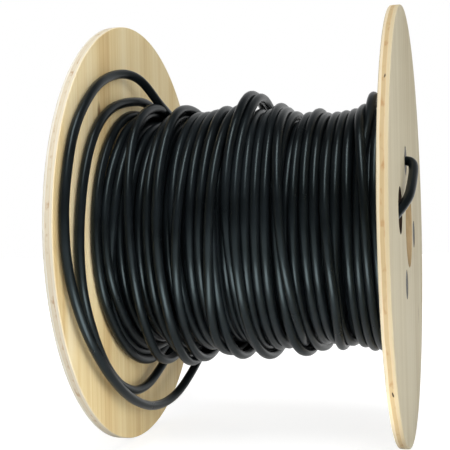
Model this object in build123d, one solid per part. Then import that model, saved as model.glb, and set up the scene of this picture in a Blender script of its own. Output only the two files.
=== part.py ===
from build123d import *
import os
from math import cos, pi, radians, sin, tan

# Plywood cable drum with black round cable wound on it. Millimetres, +Z up.
# The drum lies on the rims of its two flanges. +X runs along its axis, towards the flange with the cable's
# start hole, and the origin is on the floor below the middle of the drum.

# Flanges: two plywood discs
FLANGE_DIAMETER = 400.0
FLANGE_THICKNESS = 9.0
FLANGE_EDGE_CHAMFER = 0.6
INNER_WIDTH = 254.0
ARBOR_BORE_DIAMETER = 76.0
START_HOLE_DIAMETER = 40.0
START_HOLE_CORE_GAP = 1.0
START_HOLE_ANGLE = 172.0

# Core: a paper tube let into a groove in each flange
CORE_OUTER_DIAMETER = 150.0
CORE_WALL = 5.0
GROOVE_DEPTH = 3.0
GROOVE_CLEARANCE = 0.2

# Tie rods inside the core, each with a flush round nut at both ends
ROD_COUNT = 3
ROD_DIAMETER = 8.0
ROD_CORE_GAP = 2.0
ROD_FIRST_ANGLE = -7.0
NUT_HEAD_DIAMETER = 26.0
NUT_HEAD_THICKNESS = 2.0
NUT_BARREL_DIAMETER = 11.0
NUT_BARREL_INSET = 2.0
NUT_CLEARANCE = 0.2
THREAD_CLEARANCE = 0.1

# Cable, in layers that lie in the grooves of the layer below
CABLE_DIAMETER = 8.6
LAYER_COUNT = 5
LAYER_SPACING_SHARE = 0.866
TURN_RISE_SHARE = 0.38
TURN_CREST_SHARE = 0.4
ARC_RUN_SHARE = 0.45
WINDING_END_GAP = 1.0
CORE_FIT = 0.2
# How far each turn of the top layer rides above its plain place, in cable diameters, from the plain flange
TURN_LIFT_SHARES = (
    0.5, 0.25, 0.0, 0.05, 0.0, 0.1, 0.2, 0.7, 0.2, 0.1, 0.35, 0.1, 0.0, 0.2, 0.8, 0.7,
    0.3, 0.1, 0.3, 0.0, 0.2, 0.5, 0.1, 0.2, 0.1, 0.3, 0.45, 0.6, 0.8,
)

# Two slack turns beside the plain flange: distance from the flange, then Y and Z from the drum's axis
LONG_TURN_ROUTE = (
    (30.5, 40, 112), (29, 14, 119), (25.5, -12, 129), (17, -37, 139.5), (10.5, -57.5, 145), (7, -79, 143),
    (5.5, -98.5, 133), (5.5, -124, 112), (5.5, -156, 77), (5.5, -182, 43), (5.5, -191, 12), (6.2, -189, -26),
    (10, -172, -70), (14, -148, -103), (17, -118, -130), (18.5, -80, -152), (20, -27, -169), (26, 23, -167),
    (36, 56, -143), (42, 84, -119), (44, 106, -91), (45, 121, -58), (45, 128.5, -22), (45, 128.5, 14),
    (44.5, 121, 47), (44, 106, 75), (43.5, 85, 93.5), (43, 63, 104.5), (43, 40.2, 111.2),
)
SHORT_TURN_ROUTE = (
    (18, 38, 113.8), (16, 15, 122.5), (12, -10, 127.5), (8, -47, 123.5), (5.5, -84, 114), (5.5, -119, 94),
    (5.5, -145, 60), (5.5, -159, 17), (5.5, -162, -22), (5.5, -153, -60), (5.5, -121, -107), (5.5, -83, -137),
    (8, -50, -149.5), (9.5, -27, -150.5), (10.5, -6, -147), (12, 15, -138.5), (14, 37, -127.5), (17, 59, -116),
    (20, 80, -100), (22.5, 98, -80), (24, 112, -53), (24.5, 120, -23), (24.5, 121, 9), (24.5, 115, 40),
    (24.5, 102, 65), (24.5, 83.4, 83.4),
)

# Start of the cable: height above the holed flange's outer face, then the way along it from the start hole's
# centre towards the second tie rod
TAIL_ROUTE = (
    (-5.9, -13.5), (1, 4.5), (5.9, 21), (7.6, 38), (8.3, 54), (8.4, 67), (8.4, 83.6), (0.4, 83.6),
)

# Derived places
FLANGE_RADIUS = FLANGE_DIAMETER / 2
CORE_RADIUS = CORE_OUTER_DIAMETER / 2
CABLE_RADIUS = CABLE_DIAMETER / 2
INNER_FACE = INNER_WIDTH / 2
OUTER_FACE = INNER_FACE + FLANGE_THICKNESS
CORE_INNER_DIAMETER = CORE_OUTER_DIAMETER - 2 * CORE_WALL
START_HOLE_RADIUS = CORE_RADIUS + START_HOLE_CORE_GAP + START_HOLE_DIAMETER / 2
ROD_CIRCLE_RADIUS = CORE_INNER_DIAMETER / 2 - ROD_CORE_GAP - ROD_DIAMETER / 2
NUT_BARREL_LENGTH = FLANGE_THICKNESS - NUT_HEAD_THICKNESS - NUT_BARREL_INSET
ROD_ANGLES = [ROD_FIRST_ANGLE + number * 360 / ROD_COUNT for number in range(ROD_COUNT)]
TAIL_ROD_ANGLE = ROD_ANGLES[1]
AXIS = Plane(origin=(0, 0, FLANGE_RADIUS), x_dir=(0, 1, 0), z_dir=(1, 0, 0))


def across(radius, angle):
    """Y and Z from the drum's axis for a radius and an angle from +Y towards +Z."""
    return radius * cos(radians(angle)), radius * sin(radians(angle))


def disc(diameter, start, end, place=(0, 0)):
    """A round bar along the drum's axis between two stations."""
    profile = AXIS.offset(start) * Pos(*place) * Circle(diameter / 2)
    return extrude(profile, end - start)


def tube(outer, inner, start, end):
    """A round tube on the drum's axis between two stations."""
    return disc(outer, start, end) - disc(inner, start, end)


def flange(side):
    """One plywood disc with its bore, core groove and seats for the nuts; side is 1 towards +X."""
    inner, outer = side * INNER_FACE, side * OUTER_FACE
    board = disc(FLANGE_DIAMETER, inner, outer)
    board = chamfer(board.edges().filter_by(GeomType.CIRCLE), FLANGE_EDGE_CHAMFER)
    board -= disc(ARBOR_BORE_DIAMETER, inner, outer)
    board -= tube(
        CORE_OUTER_DIAMETER + 2 * GROOVE_CLEARANCE,
        CORE_INNER_DIAMETER - 2 * GROOVE_CLEARANCE,
        inner,
        inner + side * GROOVE_DEPTH,
    )
    for angle in ROD_ANGLES:
        place = across(ROD_CIRCLE_RADIUS, angle)
        board -= disc(NUT_BARREL_DIAMETER + 2 * NUT_CLEARANCE, inner, outer, place)
        board -= disc(NUT_HEAD_DIAMETER + 2 * NUT_CLEARANCE, outer - side * NUT_HEAD_THICKNESS, outer, place)
    return board


def tie_rod(angle):
    """A plain rod from outer face to outer face."""
    return disc(ROD_DIAMETER, -OUTER_FACE, OUTER_FACE, across(ROD_CIRCLE_RADIUS, angle))


def rod_nut(side, angle):
    """A round nut: a thin head let in flush with the outer face, and a barrel in the board."""
    place = across(ROD_CIRCLE_RADIUS, angle)
    face = side * OUTER_FACE
    seat = face - side * NUT_HEAD_THICKNESS
    end = seat - side * NUT_BARREL_LENGTH
    nut = disc(NUT_HEAD_DIAMETER, seat, face, place) + disc(NUT_BARREL_DIAMETER, end, seat, place)
    return nut - disc(ROD_DIAMETER + 2 * THREAD_CLEARANCE, end, face, place)


def winding():
    """The wound cable as one turned ring, each turn of its top layer a ridge at its own height."""
    bore_radius = CORE_RADIUS + CORE_FIT
    plain_crest = CORE_RADIUS + CABLE_DIAMETER * (1 + (LAYER_COUNT - 1) * LAYER_SPACING_SHARE)
    rise = TURN_RISE_SHARE * CABLE_DIAMETER
    width = INNER_WIDTH - 2 * WINDING_END_GAP
    turns = int(width // CABLE_DIAMETER)
    pitch = width / turns
    slope = pitch * (1 - TURN_CREST_SHARE) / 2
    lifts = [TURN_LIFT_SHARES[number % len(TURN_LIFT_SHARES)] for number in range(turns)]
    crests = [plain_crest + lift * CABLE_DIAMETER for lift in lifts]
    outline = [(-width / 2, bore_radius), (-width / 2, crests[0] - rise)]
    for number, crest in enumerate(crests):
        start = -width / 2 + number * pitch
        following = crests[min(number + 1, turns - 1)]
        outline.append((start + slope, crest))
        outline.append((start + pitch - slope, crest))
        outline.append((start + pitch, min(crest, following) - rise))
    outline.append((width / 2, bore_radius))
    section = make_face(Polyline(*outline, close=True))
    return Pos(0, 0, FLANGE_RADIUS) * revolve(section, Axis.X)


def cord(name, points):
    """A round cord along straight runs joined by arcs as large as the runs allow."""
    route = [Vector(*point) for point in points]
    runs = [after - before for before, after in zip(route, route[1:])]
    # each run is shared by two arcs, but the first and the last carry only one
    rooms = [ARC_RUN_SHARE * run.length for run in runs]
    rooms[0] *= 2
    rooms[-1] *= 2
    radii = []
    for number, (before, after) in enumerate(zip(runs, runs[1:])):
        half_turn = radians(before.get_angle(after)) / 2
        radii.append(min(rooms[number], rooms[number + 1]) / tan(half_turn))
    path = FilletPolyline(*route, radius=radii)
    solid = sweep(Plane(path @ 0, z_dir=path % 0) * Circle(CABLE_RADIUS), path=path)
    expected = pi * CABLE_RADIUS**2 * path.length
    print(name, "length", round(path.length, 1), "volume share", round(solid.volume / expected, 4))
    print(name, "radii", [round(radius, 1) for radius in radii])
    return solid


def slack_turn(name, route):
    """A loose turn beside the plain flange."""
    return cord(name, [(station - INNER_FACE, y, z + FLANGE_RADIUS) for station, y, z in route])


def cable_tail():
    """The start of the cable, out through its hole and back to the face at a tie rod's nut."""
    hole = Vector(0, *across(START_HOLE_RADIUS, START_HOLE_ANGLE))
    nut = Vector(0, *across(ROD_CIRCLE_RADIUS, TAIL_ROD_ANGLE))
    way = (nut - hole).normalized()
    axis = Vector(OUTER_FACE, 0, FLANGE_RADIUS)
    return cord("cable_tail", [axis + hole + way * along + Vector(height, 0, 0) for height, along in TAIL_ROUTE])


def build():
    """Every piece of the drum by its name."""
    holed = flange(1) - disc(
        START_HOLE_DIAMETER, INNER_FACE, OUTER_FACE, across(START_HOLE_RADIUS, START_HOLE_ANGLE)
    )
    pieces = {"flange_plain": flange(-1), "flange_holed": holed}
    pieces["core_tube"] = tube(
        CORE_OUTER_DIAMETER, CORE_INNER_DIAMETER,
        -INNER_FACE - GROOVE_DEPTH, INNER_FACE + GROOVE_DEPTH,
    )
    for number, angle in enumerate(ROD_ANGLES, 1):
        pieces[f"tie_rod_{number}"] = tie_rod(angle)
        pieces[f"rod_nut_plain_{number}"] = rod_nut(-1, angle)
        pieces[f"rod_nut_holed_{number}"] = rod_nut(1, angle)
    pieces["cable_winding"] = winding()
    pieces["slack_turn_long"] = slack_turn("slack_turn_long", LONG_TURN_ROUTE)
    pieces["slack_turn_short"] = slack_turn("slack_turn_short", SHORT_TURN_ROUTE)
    pieces["cable_tail"] = cable_tail()
    return pieces


os.makedirs("parts", exist_ok=True)
for node, piece in build().items():
    export_step(piece, f"parts/{node}.step")
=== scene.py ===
"""Looks of a plywood cable drum wound with black round cable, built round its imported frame.

Metres, +Z up. The drum lies on its rims. +X runs along its axis, towards the flange with the cable's start
hole, and the origin is on the floor below the middle of the drum.
"""

from __future__ import annotations

import logging
import math
from collections.abc import Sequence
from dataclasses import dataclass
from enum import Enum

import bmesh
import bpy
import numpy as np
from mathutils import Matrix, Vector

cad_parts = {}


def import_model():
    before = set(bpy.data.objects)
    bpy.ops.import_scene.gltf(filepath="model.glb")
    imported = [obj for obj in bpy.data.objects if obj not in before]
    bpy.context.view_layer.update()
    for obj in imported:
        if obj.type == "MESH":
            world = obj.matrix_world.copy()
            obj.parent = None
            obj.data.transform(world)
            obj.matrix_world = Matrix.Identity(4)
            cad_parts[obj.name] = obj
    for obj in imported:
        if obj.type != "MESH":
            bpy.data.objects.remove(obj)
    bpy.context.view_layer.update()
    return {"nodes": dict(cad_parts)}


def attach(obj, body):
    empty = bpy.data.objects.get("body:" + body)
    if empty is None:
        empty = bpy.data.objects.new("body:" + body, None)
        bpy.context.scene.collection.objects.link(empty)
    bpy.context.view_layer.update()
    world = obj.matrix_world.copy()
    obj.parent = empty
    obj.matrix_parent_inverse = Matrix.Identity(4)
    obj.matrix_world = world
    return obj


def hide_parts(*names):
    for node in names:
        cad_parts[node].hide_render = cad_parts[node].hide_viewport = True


Point = tuple[float, float, float]
Rgba = tuple[float, float, float, float]

MERGE_DISTANCE = 1e-6

log = logging.getLogger("cable_drum")


def shade(red: int, green: int, blue: int) -> Rgba:
    """Turn a display colour into the linear one that shader sockets take.

    Args:
        red: Red from 0 to 255.
        green: Green from 0 to 255.
        blue: Blue from 0 to 255.

    Returns:
        The linear colour with full alpha.
    """
    linear = []
    for value in (red, green, blue):
        share = value / 255
        linear.append(share / 12.92 if share <= 0.04045 else ((share + 0.055) / 1.055) ** 2.4)
    return (linear[0], linear[1], linear[2], 1.0)


class Slot(Enum):
    """Material slot names from the record, which no piece in this script takes."""

    ZINC = "zinc_steel"
    JACKET = "cable_jacket"


class Side(Enum):
    """The two ends of the drum, by the sign of X."""

    PLAIN = -1
    HOLED = 1


@dataclass(frozen=True)
class DrumSizes:
    """Sizes that the drum's pieces share."""

    flange_radius: float = 0.2
    inner_face: float = 0.127
    outer_face: float = 0.136
    core_radius: float = 0.075
    cable_diameter: float = 0.0086
    rod_circle: float = 0.064
    rod_angles: tuple[float, ...] = (-7.0, 113.0, 233.0)
    start_hole_circle: float = 0.096
    start_hole_angle: float = 172.0

    @property
    def axis(self) -> Vector:
        """The middle of the drum's axis."""
        return Vector((0.0, 0.0, self.flange_radius))

    def around(self, station: float, radius: float, angle: float) -> Vector:
        """Find a place about the axis.

        Args:
            station: Place along the axis.
            radius: Distance from the axis.
            angle: Degrees from +Y towards +Z.

        Returns:
            The place in the drum's frame.
        """
        turn = math.radians(angle)
        return self.axis + Vector((station, radius * math.cos(turn), radius * math.sin(turn)))


class ShaderGraph:
    """A material's node tree, with short calls that add a node and give back its output."""

    def __init__(self, name: str) -> None:
        """Start a material with a Principled surface and Object coordinates."""
        self.material = bpy.data.materials.new(name)
        self.material.use_nodes = True
        self.nodes = self.material.node_tree.nodes
        self.links = self.material.node_tree.links
        self.surface = self.nodes["Principled BSDF"]
        self.place = self.nodes.new("ShaderNodeTexCoord").outputs["Object"]

    def feed(self, socket: bpy.types.NodeSocket, value: object) -> None:
        """Link an output to a socket, or set the socket to a plain value."""
        if isinstance(value, bpy.types.NodeSocket):
            self.links.new(value, socket)
        else:
            socket.default_value = value

    def stretched(self, scale: Point, shift: Point = (0.0, 0.0, 0.0)) -> bpy.types.NodeSocket:
        """Object coordinates after a shift and a scale on each axis."""
        node = self.nodes.new("ShaderNodeMapping")
        self.links.new(self.place, node.inputs["Vector"])
        node.inputs["Location"].default_value = shift
        node.inputs["Scale"].default_value = scale
        return node.outputs["Vector"]

    def parts(self, vector: bpy.types.NodeSocket) -> Sequence[bpy.types.NodeSocket]:
        """The X, Y and Z of a vector."""
        node = self.nodes.new("ShaderNodeSeparateXYZ")
        self.links.new(vector, node.inputs[0])
        return node.outputs

    def from_axis(self) -> Sequence[bpy.types.NodeSocket]:
        """The X, Y and Z of a place, measured from the middle of the drum's axis."""
        return self.parts(self.stretched((1.0, 1.0, 1.0), (0.0, 0.0, -DrumSizes.flange_radius)))

    def joined(self, x: object, y: object, z: object) -> bpy.types.NodeSocket:
        """A vector from three outputs or numbers."""
        node = self.nodes.new("ShaderNodeCombineXYZ")
        for socket, value in zip(node.inputs, (x, y, z)):
            self.feed(socket, value)
        return node.outputs[0]

    def noise(
        self, vector: bpy.types.NodeSocket, scale: float = 1.0, detail: float = 4.0, roughness: float = 0.5
    ) -> bpy.types.NodeSocket:
        """Smooth noise from 0 to 1."""
        node = self.nodes.new("ShaderNodeTexNoise")
        self.links.new(vector, node.inputs["Vector"])
        node.inputs["Scale"].default_value = scale
        node.inputs["Detail"].default_value = detail
        node.inputs["Roughness"].default_value = roughness
        return node.outputs[0]

    def sums(self, operation: str, first: object, second: object = 0.0) -> bpy.types.NodeSocket:
        """One step of arithmetic on two outputs or numbers."""
        node = self.nodes.new("ShaderNodeMath")
        node.operation = operation
        self.feed(node.inputs[0], first)
        self.feed(node.inputs[1], second)
        return node.outputs[0]

    def rim_noise(
        self, across: object, along: object, scales: tuple[float, float], layer: float, detail: float
    ) -> bpy.types.NodeSocket:
        """Noise on an unrolled rim, from 0 to 1.

        Args:
            across: Place across the board.
            along: Place along the rim.
            scales: Scale of the noise across and along.
            layer: Third coordinate, which keeps one noise apart from the next.
            detail: Octaves of the noise.

        Returns:
            The noise.
        """
        stretched = [self.sums("MULTIPLY", place, scale) for place, scale in zip((across, along), scales)]
        return self.noise(self.joined(*stretched, layer), detail=detail)

    def remap(
        self, value: bpy.types.NodeSocket, low: float, high: float, start: float = 0.0, end: float = 1.0
    ) -> bpy.types.NodeSocket:
        """Carry a value from one range to another, held at its ends."""
        node = self.nodes.new("ShaderNodeMapRange")
        self.links.new(value, node.inputs["Value"])
        for name, number in (("From Min", low), ("From Max", high), ("To Min", start), ("To Max", end)):
            node.inputs[name].default_value = number
        return node.outputs[0]

    def ramp(self, factor: bpy.types.NodeSocket, stops: Sequence[tuple[float, Rgba]]) -> bpy.types.NodeSocket:
        """A colour read along a row of stops."""
        node = self.nodes.new("ShaderNodeValToRGB")
        self.links.new(factor, node.inputs[0])
        marks = node.color_ramp.elements
        while len(marks) < len(stops):
            marks.new(1.0)
        for mark, (position, colour) in zip(marks, stops):
            mark.position = position
            mark.color = colour
        return node.outputs[0]

    def mix(self, factor: object, first: object, second: object) -> bpy.types.NodeSocket:
        """Two colours mixed by a factor."""
        node = self.nodes.new("ShaderNodeMix")
        node.data_type = "RGBA"
        self.feed(node.inputs[0], factor)
        self.feed(node.inputs[6], first)
        self.feed(node.inputs[7], second)
        return node.outputs[2]

    def distance(self, vector: bpy.types.NodeSocket, point: Point) -> bpy.types.NodeSocket:
        """How far a vector lies from a fixed point."""
        node = self.nodes.new("ShaderNodeVectorMath")
        node.operation = "DISTANCE"
        self.links.new(vector, node.inputs[0])
        node.inputs[1].default_value = point
        return node.outputs["Value"]

    def sideways(self) -> bpy.types.NodeSocket:
        """How squarely the surface faces along the drum's axis, from 0 to 1."""
        node = self.nodes.new("ShaderNodeNewGeometry")
        return self.sums("ABSOLUTE", self.parts(node.outputs["Normal"])[0])

    def bump(self, height: bpy.types.NodeSocket, strength: float, depth: float) -> None:
        """Raise the surface by a height map."""
        node = self.nodes.new("ShaderNodeBump")
        node.inputs["Strength"].default_value = strength
        node.inputs["Distance"].default_value = depth
        self.links.new(height, node.inputs["Height"])
        self.links.new(node.outputs["Normal"], self.surface.inputs["Normal"])

    def dress(self, colour: object, roughness: object) -> None:
        """Give the surface its colour and roughness."""
        self.feed(self.surface.inputs["Base Color"], colour)
        self.feed(self.surface.inputs["Roughness"], roughness)


@dataclass(frozen=True)
class Knot:
    """A brown knot in a face veneer: its middle, and its half width across the grain."""

    middle: Point
    reach: float
    strength: float = 0.8


@dataclass(frozen=True)
class PlywoodFinish:
    """Three-ply softwood board: upright grain on its faces, and a rim of two pale plies round a tan one."""

    pale: Rgba = shade(240, 224, 184)
    face: Rgba = shade(230, 208, 157)
    streak: Rgba = shade(212, 181, 126)
    low_ply: Rgba = shade(214, 210, 197)
    core_ply: Rgba = shade(204, 194, 172)
    high_ply: Rgba = shade(210, 202, 183)
    glue: Rgba = shade(196, 170, 130)
    bore_wall: Rgba = shade(176, 150, 110)
    blotch: Rgba = shade(150, 104, 56)
    # Painted shade: dark brown laid on the cut walls of holes away from the axis, such as the cable's start
    # hole, where shade falls.
    hole_shade: Rgba = shade(52, 38, 28)
    knot: Rgba = shade(112, 74, 38)
    gap: Rgba = shade(58, 40, 24)
    knots: tuple[Knot, ...] = ()
    knot_squeeze: float = 0.36
    bore_zone: tuple[float, float] = (0.06, 0.07)
    rim_zone: tuple[float, float] = (0.15, 0.16)
    gloss: float = 0.3

    def grain(self, graph: ShaderGraph) -> tuple[bpy.types.NodeSocket, bpy.types.NodeSocket]:
        """Make the face veneer's colour and its fine fibre.

        Args:
            graph: The material's node tree.

        Returns:
            The colour and the height of the fibre.
        """
        fibre = graph.noise(graph.stretched((90.0, 340.0, 6.0)), detail=5.0, roughness=0.58)
        bands = graph.noise(graph.stretched((30.0, 38.0, 1.3)), detail=3.0)
        patches = graph.noise(graph.stretched((12.0, 12.0, 4.0)), detail=2.0)
        tone = graph.sums("MULTIPLY", fibre, 0.3)
        tone = graph.sums("ADD", tone, graph.sums("MULTIPLY", bands, 0.42))
        tone = graph.sums("ADD", tone, graph.sums("MULTIPLY", patches, 0.28))
        colour = graph.ramp(tone, ((0.38, self.streak), (0.5, self.face), (0.62, self.pale)))
        for knot in self.knots:
            colour = self.with_knot(graph, colour, knot)
        return colour, fibre

    def with_knot(self, graph: ShaderGraph, colour: bpy.types.NodeSocket, knot: Knot) -> bpy.types.NodeSocket:
        """Darken a face colour round a knot that is drawn out along the grain."""
        x, y, z = knot.middle
        ragged = graph.noise(graph.stretched((160.0, 160.0, 60.0)), detail=2.0)
        squeezed = graph.stretched((1.0, 1.0, self.knot_squeeze))
        away = graph.distance(squeezed, (x, y, z * self.knot_squeeze))
        fray = 0.35 * knot.reach
        away = graph.sums("ADD", away, graph.remap(ragged, 0.2, 0.8, -fray, fray))
        cover = graph.remap(away, knot.reach, 0.25 * knot.reach, 0.0, knot.strength)
        return graph.mix(cover, colour, self.knot)

    def edge(self, graph: ShaderGraph, start: float, thickness: float) -> bpy.types.NodeSocket:
        """Make the colour of a cut edge, with its plies side by side and a painted shade on the walls of
        holes away from the axis.

        Args:
            graph: The material's node tree.
            start: X of the board's lower face.
            thickness: The board's thickness.

        Returns:
            The colour.
        """
        x, y, z = graph.from_axis()
        run = graph.sums("MULTIPLY", graph.sums("ARCTAN2", z, y), DrumSizes.flange_radius)
        wander = graph.noise(graph.joined(0.0, run, 0.0), scale=28.0, detail=2.0)
        share = graph.sums("DIVIDE", graph.sums("SUBTRACT", x, start), thickness)
        share = graph.sums("ADD", share, graph.remap(wander, 0.2, 0.8, -0.05, 0.05))
        plies = graph.ramp(
            share,
            (
                (0.0, self.low_ply), (0.27, self.low_ply), (0.29, self.glue), (0.32, self.core_ply),
                (0.62, self.core_ply), (0.65, self.glue), (0.68, self.high_ply), (1.0, self.high_ply),
            ),
        )
        along = graph.rim_noise(x, run, (700.0, 22.0), 0.0, detail=5.0)
        plies = graph.mix(graph.remap(along, 0.5, 0.8, 0.0, 0.3), plies, self.glue)
        inside = graph.remap(graph.sums("ABSOLUTE", graph.sums("SUBTRACT", share, 0.5)), 0.12, 0.2, 1.0, 0.0)
        blotches = graph.rim_noise(x, run, (190.0, 95.0), 7.0, detail=3.0)
        stained = graph.sums("MULTIPLY", graph.remap(blotches, 0.54, 0.68, 0.0, 0.6), inside)
        plies = graph.mix(stained, plies, self.blotch)
        cells = graph.rim_noise(x, run, (260.0, 60.0), 3.0, detail=1.0)
        holes = graph.sums("MULTIPLY", graph.remap(cells, 0.72, 0.76), inside)
        rim = graph.mix(holes, plies, self.gap)
        squares = [graph.sums("MULTIPLY", part, part) for part in (y, z)]
        off_axis = graph.sums("SQRT", graph.sums("ADD", *squares))
        bored = graph.mix(graph.remap(along, 0.35, 0.65, 0.0, 0.5), self.bore_wall, self.glue)
        # Cut walls between the bore and the rim take the painted shade of the holes.
        walls = graph.mix(graph.remap(off_axis, *self.bore_zone), bored, self.hole_shade)
        return graph.mix(graph.remap(off_axis, *self.rim_zone), walls, rim)

    def material(self, name: str, start: float, thickness: float) -> bpy.types.Material:
        """Build the board's material.

        Args:
            name: The material's name.
            start: X of the board's lower face.
            thickness: The board's thickness.

        Returns:
            The material.
        """
        graph = ShaderGraph(name)
        face, fibre = self.grain(graph)
        cut = graph.remap(graph.sideways(), 0.8, 0.6)
        colour = graph.mix(cut, face, self.edge(graph, start, thickness))
        graph.dress(colour, graph.remap(fibre, 0.3, 0.7, 0.52, 0.7))
        graph.surface.inputs["Specular IOR Level"].default_value = self.gloss
        graph.bump(fibre, 0.12, 0.0003)
        return graph.material


@dataclass(frozen=True)
class JacketFinish:
    """Black rubber cable jacket with a satin skin."""

    black: Rgba = shade(12, 15, 17)
    worn: Rgba = shade(19, 23, 26)
    gloss: float = 0.23
    gloss_tint: Rgba = (0.74, 0.96, 1.0, 1.0)

    def material(self) -> bpy.types.Material:
        """Build the jacket's material."""
        graph = ShaderGraph("jacket_rubber")
        cloud = graph.noise(graph.place, scale=34.0, detail=3.0)
        skin = graph.noise(graph.place, scale=900.0, detail=3.0)
        colour = graph.ramp(cloud, ((0.4, self.black), (0.75, self.worn)))
        graph.dress(colour, graph.remap(cloud, 0.3, 0.7, 0.27, 0.34))
        graph.surface.inputs["Specular IOR Level"].default_value = self.gloss
        graph.surface.inputs["Specular Tint"].default_value = self.gloss_tint
        graph.bump(skin, 0.12, 0.0002)
        return graph.material


@dataclass(frozen=True)
class ZincFinish:
    """Dull zinc on pressed steel, with a thread's fine rings where it is asked for."""

    bright: Rgba = shade(88, 86, 80)
    dull: Rgba = shade(54, 52, 49)
    thread_pitch: float = 0.00125

    def material(self, name: str, threaded: bool) -> bpy.types.Material:
        """Build the zinc material.

        Args:
            name: The material's name.
            threaded: Whether the piece carries a thread along X.

        Returns:
            The material.
        """
        graph = ShaderGraph(name)
        cloud = graph.noise(graph.place, scale=120.0, detail=5.0, roughness=0.6)
        colour = graph.ramp(cloud, ((0.35, self.dull), (0.65, self.bright)))
        graph.dress(colour, graph.remap(cloud, 0.3, 0.7, 0.38, 0.55))
        graph.surface.inputs["Metallic"].default_value = 1.0
        if threaded:
            x = graph.parts(graph.place)[0]
            wave = graph.sums("SINE", graph.sums("MULTIPLY", x, 2 * math.pi / self.thread_pitch))
            graph.bump(wave, 0.6, 0.0003)
        else:
            graph.bump(cloud, 0.1, 0.0002)
        return graph.material


@dataclass(frozen=True)
class PaperFinish:
    """Brown paper tube, rolled from a strip with a slanting seam."""

    brown: Rgba = shade(168, 132, 92)
    dark: Rgba = shade(134, 100, 66)
    strip_width: float = 0.11

    def material(self) -> bpy.types.Material:
        """Build the paper's material."""
        graph = ShaderGraph("core_paper")
        x, y, z = graph.from_axis()
        turn = graph.sums("DIVIDE", graph.sums("ARCTAN2", z, y), 2 * math.pi)
        strip = graph.sums("FRACT", graph.sums("ADD", graph.sums("DIVIDE", x, self.strip_width), turn))
        seam = graph.remap(graph.sums("ABSOLUTE", graph.sums("SUBTRACT", strip, 0.5)), 0.494, 0.498)
        fleck = graph.noise(graph.place, scale=260.0, detail=4.0)
        base = graph.ramp(fleck, ((0.35, self.dark), (0.6, self.brown)))
        graph.dress(graph.mix(seam, base, self.dark), graph.remap(fleck, 0.3, 0.7, 0.8, 0.92))
        graph.bump(graph.sums("SUBTRACT", fleck, seam), 0.2, 0.0003)
        return graph.material


@dataclass(frozen=True)
class Finishes:
    """The drum's materials, made once."""

    plain_board: bpy.types.Material
    holed_board: bpy.types.Material
    jacket: bpy.types.Material
    zinc: bpy.types.Material
    zinc_thread: bpy.types.Material
    paper: bpy.types.Material

    @classmethod
    def mixed(cls, sizes: DrumSizes) -> Finishes:
        """Make every material.

        Args:
            sizes: The drum's sizes.

        Returns:
            The materials.
        """
        thickness = sizes.outer_face - sizes.inner_face
        warm = PlywoodFinish(
            knots=(
                Knot((-sizes.inner_face, -0.0996, 0.306), 0.0042),
                Knot((-sizes.inner_face, -0.02, 0.04), 0.0035, 0.5),
                Knot((-sizes.outer_face, 0.09, 0.27), 0.006),
                Knot((-sizes.outer_face, -0.12, 0.13), 0.004, 0.6),
            ),
        )
        grey = PlywoodFinish(
            pale=shade(203, 194, 168),
            face=shade(195, 185, 157),
            streak=shade(184, 171, 139),
            low_ply=shade(198, 184, 155),
            core_ply=shade(176, 154, 114),
            high_ply=shade(186, 171, 138),
            knots=(
                Knot((sizes.outer_face, 0.11, 0.11), 0.0045, 0.6),
                Knot((sizes.inner_face, 0.08, 0.34), 0.005),
            ),
        )
        return cls(
            plain_board=warm.material("plywood_plain", -sizes.outer_face, thickness),
            holed_board=grey.material("plywood_holed", sizes.inner_face, thickness),
            jacket=JacketFinish().material(),
            zinc=ZincFinish().material("zinc_pressed", threaded=False),
            zinc_thread=ZincFinish().material("zinc_thread", threaded=True),
            paper=PaperFinish().material(),
        )


def settle_on_drum(piece: bpy.types.Object, node: str) -> None:
    """Link a piece to the scene, let it ride on the drum and name what it stands for.

    Args:
        piece: The new piece.
        node: The node that it replaces.
    """
    bpy.context.scene.collection.objects.link(piece)
    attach(piece, "root")
    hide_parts(node)
    log.info("%s rides on the drum and stands for %s", piece.name, node)


def turned_mesh(
    name: str, outline: Sequence[tuple[float, float]], middle: Vector, steps: int
) -> bpy.types.Mesh:
    """Turn a closed half section about a line along X.

    Args:
        name: The mesh's name.
        outline: The section's corners, as X from the middle and radius.
        middle: A place on the line.
        steps: Steps in the full turn.

    Returns:
        The mesh.
    """
    turned = bmesh.new()
    corners = [turned.verts.new(middle + Vector((x, 0.0, radius))) for x, radius in outline]
    edges = [turned.edges.new(pair) for pair in zip(corners, corners[1:] + corners[:1])]
    bmesh.ops.spin(
        turned, geom=corners + edges, cent=middle, axis=(1.0, 0.0, 0.0), angle=2 * math.pi, steps=steps,
        use_merge=True,
    )
    bmesh.ops.remove_doubles(turned, verts=turned.verts, dist=MERGE_DISTANCE)
    bmesh.ops.recalc_face_normals(turned, faces=turned.faces)
    mesh = bpy.data.meshes.new(name)
    turned.to_mesh(mesh)
    turned.free()
    mesh.shade_smooth()
    return mesh


def cable_curve(
    name: str, route: Sequence[Vector], diameter: float, steps: int, sides: int
) -> bpy.types.Curve:
    """Draw a round cable along one smooth line.

    Args:
        name: The curve's name.
        route: The line's control points.
        diameter: The cable's diameter.
        steps: Straight steps between two control points.
        sides: Half of the steps round the cable, less one.

    Returns:
        The curve.
    """
    curve = bpy.data.curves.new(name, "CURVE")
    curve.dimensions = "3D"
    spline = curve.splines.new("NURBS")
    spline.points.add(len(route) - 1)
    for point, place in zip(spline.points, route):
        point.co = (place.x, place.y, place.z, 1.0)
    spline.order_u = 3
    spline.use_endpoint_u = True
    spline.resolution_u = steps
    curve.bevel_depth = diameter / 2
    curve.bevel_resolution = sides
    curve.use_fill_caps = True
    return curve


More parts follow.
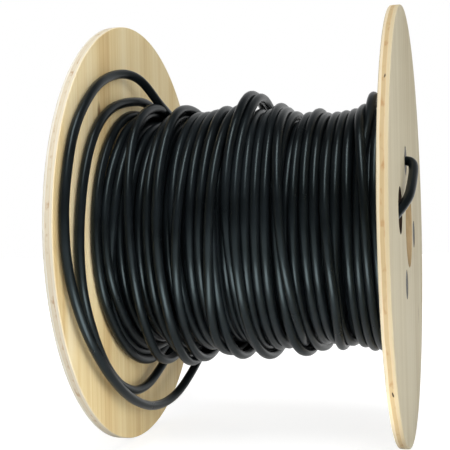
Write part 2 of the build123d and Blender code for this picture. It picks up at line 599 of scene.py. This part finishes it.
def cable_mesh(name: str, route: Sequence[Vector], diameter: float, steps: int, sides: int) -> bpy.types.Mesh:
    """Make a mesh of a cable; the arguments are those of cable_curve."""
    curve = cable_curve(name, route, diameter, steps, sides)
    holder = bpy.data.objects.new(name, curve)
    bpy.context.scene.collection.objects.link(holder)
    bpy.context.view_layer.update()
    mesh = bpy.data.meshes.new_from_object(holder.evaluated_get(bpy.context.evaluated_depsgraph_get()))
    bpy.data.objects.remove(holder)
    bpy.data.curves.remove(curve)
    mesh.name = name
    mesh.shade_smooth()
    return mesh


@dataclass
class LooseCable:
    """A free stretch of the cable, on one smooth line."""

    name: str
    route: tuple[Vector, ...]
    length: float
    diameter: float
    steps: int = 8
    sides: int = 6

    def build(self, jacket: bpy.types.Material) -> None:
        """Args:
            jacket: The cable's material.
        """
        curve = cable_curve(f"{self.name}_cable", self.route, self.diameter, self.steps, self.sides)
        curve.materials.append(jacket)
        piece = bpy.data.objects.new(f"{self.name}_cable", curve)
        settle_on_drum(piece, self.name)


@dataclass
class LooseCables:
    """The two slack turns beside the plain flange and the cable's start on the holed one."""

    sizes: DrumSizes
    long_turn: tuple[Point, ...] = (
        (0.0305, 0.050, 0.1), (0.030, 0.016, 0.114), (0.0265, -0.0125, 0.1248),
        (0.0225, -0.0262, 0.1355), (0.018, -0.036, 0.1435), (0.0135, -0.048, 0.1475),
        (0.0088, -0.064, 0.1472), (0.0055, -0.0859, 0.1418), (0.0055, -0.1128, 0.1312),
        (0.0055, -0.135, 0.1172), (0.0055, -0.154, 0.1006), (0.0055, -0.1675, 0.0848),
        (0.0055, -0.1765, 0.0676), (0.0055, -0.1828, 0.05), (0.0055, -0.1875, 0.0325),
        (0.0055, -0.1905, 0.013), (0.0062, -0.189, -0.026), (0.010, -0.172, -0.070),
        (0.014, -0.148, -0.103), (0.017, -0.118, -0.130), (0.0185, -0.080, -0.152),
        (0.020, -0.027, -0.169), (0.026, 0.023, -0.167), (0.036, 0.056, -0.143),
        (0.042, 0.084, -0.119), (0.044, 0.106, -0.091), (0.045, 0.121, -0.058),
        (0.045, 0.1285, -0.022), (0.045, 0.1285, 0.014), (0.0445, 0.121, 0.047),
        (0.044, 0.106, 0.075), (0.0435, 0.085, 0.0925), (0.043, 0.064, 0.1),
        (0.043, 0.046, 0.0985),
    )
    short_turn: tuple[Point, ...] = (
        (0.018, 0.044, 0.100), (0.016, 0.018, 0.1185), (0.012, -0.010, 0.1275),
        (0.008, -0.047, 0.1235), (0.0055, -0.084, 0.114), (0.0055, -0.119, 0.094),
        (0.0055, -0.145, 0.060), (0.0055, -0.159, 0.017), (0.0055, -0.162, -0.022),
        (0.0055, -0.153, -0.060), (0.0055, -0.121, -0.107), (0.0055, -0.083, -0.137),
        (0.008, -0.050, -0.1495), (0.0095, -0.027, -0.1505), (0.0105, -0.006, -0.147),
        (0.012, 0.015, -0.1385), (0.014, 0.037, -0.1275), (0.017, 0.059, -0.116),
        (0.020, 0.080, -0.100), (0.0225, 0.098, -0.080), (0.024, 0.112, -0.053),
        (0.0245, 0.120, -0.023), (0.0245, 0.121, 0.009), (0.0245, 0.115, 0.040),
        (0.0245, 0.100, 0.062), (0.0245, 0.082, 0.076),
    )
    start: tuple[tuple[float, float], ...] = (
        (-0.0115, -0.0165), (-0.0059, -0.0125), (0.001, 0.0045), (0.0059, 0.021), (0.0073, 0.038),
        (0.0077, 0.053), (0.0079, 0.065), (0.0073, 0.0755), (0.0046, 0.0822), (0.0004, 0.0836),
    )

    def beside_flange(self, turn: tuple[Point, ...]) -> tuple[Vector, ...]:
        """Places of a slack turn from its distances to the plain flange and the axis."""
        foot = self.sizes.axis - Vector((self.sizes.inner_face, 0.0, 0.0))
        return tuple(foot + Vector(point) for point in turn)

    def on_face(self) -> tuple[Vector, ...]:
        """Places of the cable's start, from its hole towards the second tie rod."""
        sizes = self.sizes
        hole = sizes.around(sizes.outer_face, sizes.start_hole_circle, sizes.start_hole_angle)
        nut = sizes.around(sizes.outer_face, sizes.rod_circle, sizes.rod_angles[1])
        way = (nut - hole).normalized()
        return tuple(hole + way * along + Vector((height, 0.0, 0.0)) for height, along in self.start)

    def build(self, jacket: bpy.types.Material) -> None:
        """Draw all three stretches."""
        stretches = (
            ("slack_turn_long", self.beside_flange(self.long_turn), 0.983),
            ("slack_turn_short", self.beside_flange(self.short_turn), 0.819),
            ("cable_tail", self.on_face(), 0.104),
        )
        for name, route, length in stretches:
            LooseCable(name, route, length, self.sizes.cable_diameter).build(jacket)


@dataclass(frozen=True)
class Arch:
    """A stretch of one turn that stands off the winding: its middle, its rise and how far it spreads."""

    station: float
    angle: float
    rise: float
    spread: float
    sway: float = 0.0


@dataclass
class CableWinding:
    """The wound cable: a top layer whose turns push past each other, one below it and the layers within."""

    sizes: DrumSizes
    turns: int = 29
    marks: int = 40
    start_angle: float = 40.0
    end_gap: float = 0.001
    bed_radius: float = 0.1112
    dip_station: float = 0.0653
    dip_depth: float = 0.0067
    dip_reach: float = 0.0619
    layer_step: float = 0.00745
    layers: int = 5
    core_gap: float = 0.0002
    ridge_height: float = 0.87
    spin_steps: int = 72
    wander: float = 0.01
    wander_seed: int = 109
    calm_end: float = 0.012
    climb: float = 0.008
    climb_seed: int = 331
    lower_wander: float = 0.0015
    lower_seed: int = 3
    sinking: float = 0.00005
    stiffness: float = 0.2
    pull_back: float = 0.02
    contact: float = 0.99
    neighbours: int = 4
    rounds: int = 150
    tucked: int = 9
    tuck_depth: float = 1.3
    steps: int = 3
    top_sides: int = 5
    lower_sides: int = 4
    arches: tuple[Arch, ...] = (
        Arch(-0.1173, 195.0, 0.0148, 159.0, -0.0050),
        Arch(-0.1100, 180.0, 0.0030, 130.0, -0.0055),
        Arch(-0.0975, 242.0, 0.0031, 145.0, -0.0102),
        Arch(-0.1034, 252.0, 0.0062, 93.0, -0.0031),
        Arch(-0.1023, 98.0, 0.0044, 57.0, -0.0014),
        Arch(-0.0966, 115.0, 0.0110, 72.0, -0.0063),
        Arch(-0.0724, 120.0, 0.0108, 51.0, 0.0010),
        Arch(-0.0413, 102.0, 0.0001, 99.0, 0.0031),
        Arch(-0.0381, 121.0, 0.0034, 104.0, 0.0134),
        Arch(-0.0306, 94.0, 0.0, 50.0, 0.0019),
        Arch(-0.0075, 95.0, 0.0175, 78.0, 0.0069),
        Arch(-0.0099, 71.0, 0.0124, 43.0, 0.0039),
        Arch(0.0054, 90.0, 0.0147, 50.0, -0.0033),
        Arch(0.0075, 88.0, 0.0092, 68.0, 0.0020),
        Arch(0.0240, 77.0, 0.0073, 68.0, 0.0005),
        Arch(0.0525, 89.0, 0.0042, 45.0, 0.0107),
        Arch(0.0990, 97.0, 0.0137, 36.0, 0.0047),
        Arch(0.1375, 36.0, 0.0103, 51.0, 0.0117),
        Arch(-0.0893, 243.0, 0.0171, 39.0, 0.0017),
        Arch(-0.0630, 240.0, 0.0204, 55.0, 0.0089),
        Arch(-0.0463, 257.0, 0.0116, 57.0, -0.0064),
        Arch(-0.0250, 248.0, 0.0095, 62.0, -0.0016),
        Arch(-0.0177, 231.0, 0.0138, 38.0, -0.0106),
        Arch(0.0132, 250.0, 0.0057, 37.0),
        Arch(0.0457, 247.0, 0.0072, 63.0, 0.0085),
        Arch(0.0350, 229.0, 0.0053, 35.0, 0.0061),
        Arch(0.0559, 291.0, 0.0128, 39.0, 0.0134),
        Arch(0.0723, 207.0, 0.0036, 52.0, 0.0084),
    )

    @property
    def reach(self) -> float:
        """How far from the middle the end turns' centre lines lie."""
        return self.sizes.inner_face - self.end_gap - self.sizes.cable_diameter / 2

    def bed(self, stations: np.ndarray) -> np.ndarray:
        """Find the radius that the top layer lies on, with its shallow dip towards the holed flange.

        Args:
            stations: Places along the axis.

        Returns:
            The radii of the turns' centre lines.
        """
        away = np.minimum(np.abs(stations - self.dip_station) / self.dip_reach, 1.0)
        return self.bed_radius - self.dip_depth * np.cos(away * math.pi / 2) ** 2

    def wobble(self, count: int, seed: int, step: int) -> np.ndarray:
        """Make a smooth random row.

        Args:
            count: How many values.
            seed: Seed of the random row.
            step: Values between two random ones.

        Returns:
            The row, from about -1 to 1.
        """
        source = np.random.default_rng(seed)
        knots = source.uniform(-1.0, 1.0, count // step + 4)
        row = np.interp(np.arange(count) / step, np.arange(len(knots)), knots)
        kernel = np.hanning(2 * step + 1)
        return np.convolve(np.pad(row, step, mode="edge"), kernel / kernel.sum(), mode="valid")

    def lifted(self, angles: np.ndarray, stations: np.ndarray) -> tuple[np.ndarray, np.ndarray]:
        """Find how far the arches lift and sway each mark of the top layer.

        Args:
            angles: The marks' running angles, in degrees.
            stations: The marks' places along the axis.

        Returns:
            The rises and the sways.
        """
        rises = np.zeros_like(angles)
        sways = np.zeros_like(angles)
        for arch in self.arches:
            first = round((arch.angle - angles[0]) % 360.0 * self.marks / 360.0)
            candidates = np.arange(first, len(angles), self.marks)
            middle = candidates[np.argmin(np.abs(stations[candidates] - arch.station))]
            away = np.abs(angles - angles[middle]) / arch.spread
            shape = np.where(away < 1.0, np.cos(np.minimum(away, 1.0) * math.pi / 2) ** 2, 0.0)
            rises = np.maximum(rises, arch.rise * shape)
            sways = sways + arch.sway * shape
        return rises, sways

    def top_layer(self) -> list[Vector]:
        """Lay the top layer's turns and let them push each other aside or up.

        Returns:
            Places along the cable.
        """
        count = self.turns * self.marks + 1
        angles = self.start_angle + np.arange(count) * 360.0 / self.marks
        plain = np.linspace(-self.reach, self.reach, count)
        rises, sways = self.lifted(angles, plain)
        calm = np.clip((self.reach - np.abs(plain)) / self.calm_end, 0.0, 1.0)
        drift = self.wander * calm * self.wobble(count, self.wander_seed, self.marks // 2)
        target = plain + drift + sways
        stations = target.copy()
        floor = self.bed(plain) + rises
        radii = floor + self.climb * np.maximum(self.wobble(count, self.climb_seed, self.marks // 3), 0.0)
        gap = self.contact * self.sizes.cable_diameter
        for _ in range(self.rounds):
            for row in (stations, radii):
                row[1:-1] += self.stiffness * ((row[:-2] + row[2:]) / 2 - row[1:-1])
            stations += self.pull_back * (target - stations)
            radii = np.maximum(radii - self.sinking, floor)
            for turn in range(1, self.neighbours + 1):
                shift = turn * self.marks
                across = stations[shift:] - stations[:-shift]
                above = radii[shift:] - radii[:-shift]
                apart = np.hypot(across, above) + 1e-9
                push = np.maximum(gap - apart, 0.0) / (2 * apart)
                stations[shift:] += across * push
                stations[:-shift] -= across * push
                radii[shift:] += above * push
                radii[:-shift] -= above * push
            stations = np.clip(stations, -self.reach, self.reach)
            radii = np.maximum(radii, floor)
        from_end = np.minimum(np.arange(count), np.arange(count)[::-1])
        tuck = np.clip(1.0 - from_end / self.tucked, 0.0, 1.0) ** 2
        radii = radii - self.tuck_depth * self.layer_step * tuck
        return [self.sizes.around(*place) for place in zip(stations, radii, angles)]

    def lower_layer(self) -> list[Vector]:
        """Lay the layer below, wound the other way along the drum.

        Returns:
            Places along the cable.
        """
        turns = int(2 * self.reach / self.sizes.cable_diameter)
        count = turns * self.marks + 1
        angles = self.start_angle + np.arange(count) * 360.0 / self.marks
        drift = self.lower_wander * self.wobble(count, self.lower_seed, self.marks // 2)
        stations = np.clip(np.linspace(self.reach, -self.reach, count) + drift, -self.reach, self.reach)
        radii = self.bed(stations) - self.layer_step
        return [self.sizes.around(*place) for place in zip(stations, radii, angles)]

    def inner_body(self, name: str) -> bpy.types.Mesh:
        """Turn the layers within: a ring whose two ends show the end turns of each layer.

        Args:
            name: The mesh's name.

        Returns:
            The mesh.
        """
        half = self.sizes.cable_diameter / 2
        first = self.sizes.core_radius + self.core_gap + half
        rows = [first + number * self.layer_step for number in range(self.layers - 2)]
        outline = []
        for side in (1.0, -1.0):
            end = []
            for number, radius in enumerate(rows):
                middle = self.reach - (number % 2) * half
                for angle in range(-70, 71, 20):
                    turn = math.radians(angle)
                    ridge = radius + self.ridge_height * half * math.sin(turn)
                    end.append((side * (middle + half * math.cos(turn)), ridge))
            outline += end if side > 0 else end[::-1]
        return turned_mesh(name, outline, self.sizes.axis, self.spin_steps)

    def build(self, jacket: bpy.types.Material) -> None:
        """Make the three layers of the winding.

        Args:
            jacket: The cable's material.
        """
        diameter = self.sizes.cable_diameter
        meshes = (
            cable_mesh("winding_top", self.top_layer(), diameter, self.steps, self.top_sides),
            cable_mesh("winding_below", self.lower_layer(), diameter, self.steps, self.lower_sides),
            self.inner_body("winding_within"),
        )
        for mesh in meshes:
            mesh.materials.clear()
            mesh.materials.append(jacket)
            piece = bpy.data.objects.new(mesh.name, mesh)
            settle_on_drum(piece, "cable_winding")


@dataclass
class RodNuts:
    """Pressed round nuts on the tie rods, let in flush with the boards."""

    sizes: DrumSizes
    head_radius: float = 0.013
    head_thickness: float = 0.002
    barrel_radius: float = 0.0055
    barrel_length: float = 0.005
    rod_hole_radius: float = 0.0041
    lip: float = 0.0005
    spin_steps: int = 40
    crease: float = 35.0

    def profile(self) -> list[tuple[float, float]]:
        """The nut's half section, as depth below the board's face and radius."""
        end = self.head_thickness + self.barrel_length
        return [
            (0.0004, self.rod_hole_radius),
            (0.0, self.rod_hole_radius + 0.0006),
            (0.0, self.barrel_radius + 0.0012),
            (0.0005, self.barrel_radius + 0.0026),
            (0.0005, self.head_radius - 0.0022),
            (0.0, self.head_radius - 0.0012),
            (0.0002, self.head_radius - self.lip),
            (0.0009, self.head_radius),
            (self.head_thickness, self.head_radius - 0.0002),
            (self.head_thickness, self.barrel_radius + 0.0004),
            (self.head_thickness + 0.0004, self.barrel_radius),
            (end - 0.0003, self.barrel_radius),
            (end, self.barrel_radius - 0.0003),
            (end, self.rod_hole_radius),
        ]

    def nut(self, name: str, side: Side, angle: float) -> bpy.types.Mesh:
        """Turn one nut.

        Args:
            name: The mesh's name.
            side: The flange that it sits in.
            angle: Its tie rod's angle about the axis.

        Returns:
            The mesh.
        """
        middle = self.sizes.around(side.value * self.sizes.outer_face, self.sizes.rod_circle, angle)
        outline = [(-side.value * depth, radius) for depth, radius in self.profile()]
        mesh = turned_mesh(name, outline, middle, self.spin_steps)
        mesh.set_sharp_from_angle(angle=math.radians(self.crease))
        return mesh

    def build(self, zinc: bpy.types.Material) -> None:
        """Make the nuts of both flanges.

        Args:
            zinc: Their material.
        """
        for side in Side:
            for number, angle in enumerate(self.sizes.rod_angles, 1):
                node = f"rod_nut_{side.name.lower()}_{number}"
                mesh = self.nut(f"{node}_pressed", side, angle)
                mesh.materials.append(zinc)
                settle_on_drum(bpy.data.objects.new(mesh.name, mesh), node)


@dataclass
class Framework:
    """The drum's boards, core and rods, which keep their own solids and get their finishes."""

    nodes: dict[str, bpy.types.Object]

    def dress(self, finishes: Finishes) -> None:
        """Give each solid its material.

        Args:
            finishes: The drum's materials.
        """
        wanted = {
            "flange_plain": finishes.plain_board,
            "flange_holed": finishes.holed_board,
            "core_tube": finishes.paper,
        }
        wanted |= {f"tie_rod_{number}": finishes.zinc_thread for number in (1, 2, 3)}
        for name, material in wanted.items():
            mesh = self.nodes[name].data
            mesh.materials.clear()
            mesh.materials.append(material)
            log.info("%s dressed in %s", name, material.name)


@dataclass(frozen=True)
class Softbox:
    """A soft lamp. Gloss shows it where it is mirrored, and matt surfaces get its light where it washes."""

    name: str
    place: Point
    aim: Point
    width: float
    height: float
    watts: float
    mirrored: bool
    washes: bool = True

    def build(self) -> None:
        """Hang the lamp and turn it to its aim."""
        lamp = bpy.data.lights.new(self.name, "AREA")
        lamp.shape = "RECTANGLE"
        lamp.size = self.width
        lamp.size_y = self.height
        lamp.energy = self.watts
        piece = bpy.data.objects.new(self.name, lamp)
        piece.location = self.place
        piece.visible_camera = False
        piece.visible_glossy = self.mirrored
        piece.visible_diffuse = self.washes
        piece.rotation_euler = (Vector(self.aim) - Vector(self.place)).to_track_quat("-Z", "Y").to_euler()
        bpy.context.scene.collection.objects.link(piece)


@dataclass
class Studio:
    """A pale floor, a white surround, soft lamps and the camera."""

    lamps: tuple[Softbox, ...] = (
        Softbox("lamp_above", (0.15, -0.84, 1.85), (0.0, 0.0, 0.2), 0.5, 1.4, 25.5, True),
        Softbox("lamp_side", (1.2, -1.7, 0.6), (-0.1, -0.05, 0.2), 1.2, 1.0, 22.0, False),
        Softbox("lamp_low", (0.0, -0.23, 0.012), (0.0, -0.17, 0.2), 0.18, 0.16, 0.85, True, washes=False),
        Softbox("lamp_floor", (0.05, -0.15, 0.012), (-0.15, 0.55, 0.692), 0.12, 0.12, 0.21, False),
        Softbox("lamp_rim", (0.125, -0.3, 0.012), (0.125, -0.17, 0.082), 0.06, 0.06, 0.13, False),
        Softbox("lamp_back", (-0.6, 1.6, 1.5), (0.0, 0.0, 0.2), 1.4, 1.0, 10.0, False),
    )
    surround: float = 0.32
    room_in_front: float = 0.06
    front_fade: tuple[float, float] = (0.5, 0.98)
    floor_paint: float = 0.85
    floor_seen: float = 0.4
    floor_rough: float = 0.9
    floor_glow: float = 0.78
    glow_fade: tuple[float, float] = (0.5, 1.4)
    # Painted shadow in reflections: how much the floor's glow is dimmed close under the drum, and the
    # distances over which it fades.
    mirrored_shadow_depth: float = 0.5
    mirrored_shadow_fade: tuple[float, float] = (0.15, 0.5)
    floor_half: float = 6.0
    camera_place: Point = (0.1982, -0.8832, 0.2)
    camera_yaw: float = 15.066
    camera_pitch: float = 0.32
    camera_roll: float = -1.2024
    camera_lens: float = 75.42
    camera_sensor: float = 36.0

    def lay_floor(self) -> None:
        """Lay a floor that looks white but keeps the drum's shadow, with a painted shadow under the drum in
        what reflections show of the floor.
        """
        sheet = bmesh.new()
        bmesh.ops.create_grid(sheet, x_segments=1, y_segments=1, size=self.floor_half)
        mesh = bpy.data.meshes.new("floor")
        sheet.to_mesh(mesh)
        sheet.free()
        graph = ShaderGraph("floor_white")
        ray = graph.nodes.new("ShaderNodeLightPath").outputs
        seen = graph.sums("MAXIMUM", ray["Is Camera Ray"], ray["Is Glossy Ray"])
        seen = graph.sums("MAXIMUM", seen, ray["Is Transmission Ray"])
        paint = (self.floor_paint, self.floor_paint, self.floor_paint, 1.0)
        dimmed = (self.floor_seen, self.floor_seen, self.floor_seen, 1.0)
        graph.dress(graph.mix(seen, paint, dimmed), self.floor_rough)
        graph.surface.inputs["Specular IOR Level"].default_value = 0.0
        graph.surface.inputs["Emission Color"].default_value = (1.0, 1.0, 1.0, 1.0)
        away = graph.distance(graph.place, (0.0, 0.0, 0.0))
        glow = graph.sums("MULTIPLY", seen, graph.remap(away, *self.glow_fade, self.floor_glow, 1.0))
        # Painted shadow: glossy rays see the floor's glow dimmed near the middle, under the drum.
        below = graph.remap(away, *self.mirrored_shadow_fade, self.mirrored_shadow_depth, 0.0)
        under = graph.sums("MULTIPLY", ray["Is Glossy Ray"], below)
        glow = graph.sums("MULTIPLY", glow, graph.sums("SUBTRACT", 1.0, under))
        graph.feed(graph.surface.inputs["Emission Strength"], glow)
        mesh.materials.append(graph.material)
        floor = bpy.data.objects.new("floor", mesh)
        bpy.context.scene.collection.objects.link(floor)

    def paint_surround(self) -> None:
        """Light the drum softly from all round; what the camera and mirrors see is white, dimmer in front."""
        world = bpy.data.worlds.new("surround")
        world.use_nodes = True
        nodes, links = world.node_tree.nodes, world.node_tree.links
        ray = nodes.new("ShaderNodeLightPath").outputs
        way = nodes.new("ShaderNodeSeparateXYZ")
        links.new(nodes.new("ShaderNodeTexCoord").outputs["Generated"], way.inputs[0])
        steps = (
            (way.outputs["Y"], *self.front_fade, self.room_in_front, 1.0),
            (ray["Is Glossy Ray"], 0.0, 1.0, self.surround, None),
            (ray["Is Transmission Ray"], 0.0, 1.0, None, 1.0),
            (ray["Is Camera Ray"], 0.0, 1.0, None, 1.0),
        )
        level = None
        for value, low, high, start, end in steps:
            step = nodes.new("ShaderNodeMapRange")
            links.new(value, step.inputs["Value"])
            step.inputs["From Min"].default_value = low
            step.inputs["From Max"].default_value = high
            for socket, number in (("To Min", start), ("To Max", end)):
                if number is None:
                    links.new(level, step.inputs[socket])
                else:
                    step.inputs[socket].default_value = number
            level = step.outputs[0]
        links.new(level, nodes["Background"].inputs["Strength"])
        nodes["Background"].inputs["Color"].default_value = (1.0, 1.0, 1.0, 1.0)
        bpy.context.scene.world = world

    def set_camera(self) -> None:
        """Place the camera at the photograph's view."""
        lens = bpy.data.cameras.new("camera")
        lens.sensor_width = self.camera_sensor
        lens.lens = self.camera_lens
        camera = bpy.data.objects.new("camera", lens)
        turn = Matrix.Rotation(math.radians(self.camera_yaw), 4, "Z")
        rise = Matrix.Rotation(math.radians(90.0 + self.camera_pitch), 4, "X")
        roll = Matrix.Rotation(math.radians(self.camera_roll), 4, "Z")
        camera.matrix_world = Matrix.Translation(self.camera_place) @ turn @ rise @ roll
        bpy.context.scene.collection.objects.link(camera)
        bpy.context.scene.camera = camera

    def build(self) -> None:
        """Set up the whole studio."""
        self.lay_floor()
        self.paint_surround()
        for lamp in self.lamps:
            lamp.build()
        self.set_camera()
        bpy.context.scene.view_settings.view_transform = "Standard"


def main() -> None:
    """Load the frame and dress the drum."""
    logging.basicConfig(level=logging.INFO, format="%(name)s: %(message)s")
    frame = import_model()
    sizes = DrumSizes()
    finishes = Finishes.mixed(sizes)
    Studio().build()
    LooseCables(sizes).build(finishes.jacket)
    CableWinding(sizes).build(finishes.jacket)
    RodNuts(sizes).build(finishes.zinc)
    Framework(frame["nodes"]).dress(finishes)


if __name__ == "__main__":
    main()
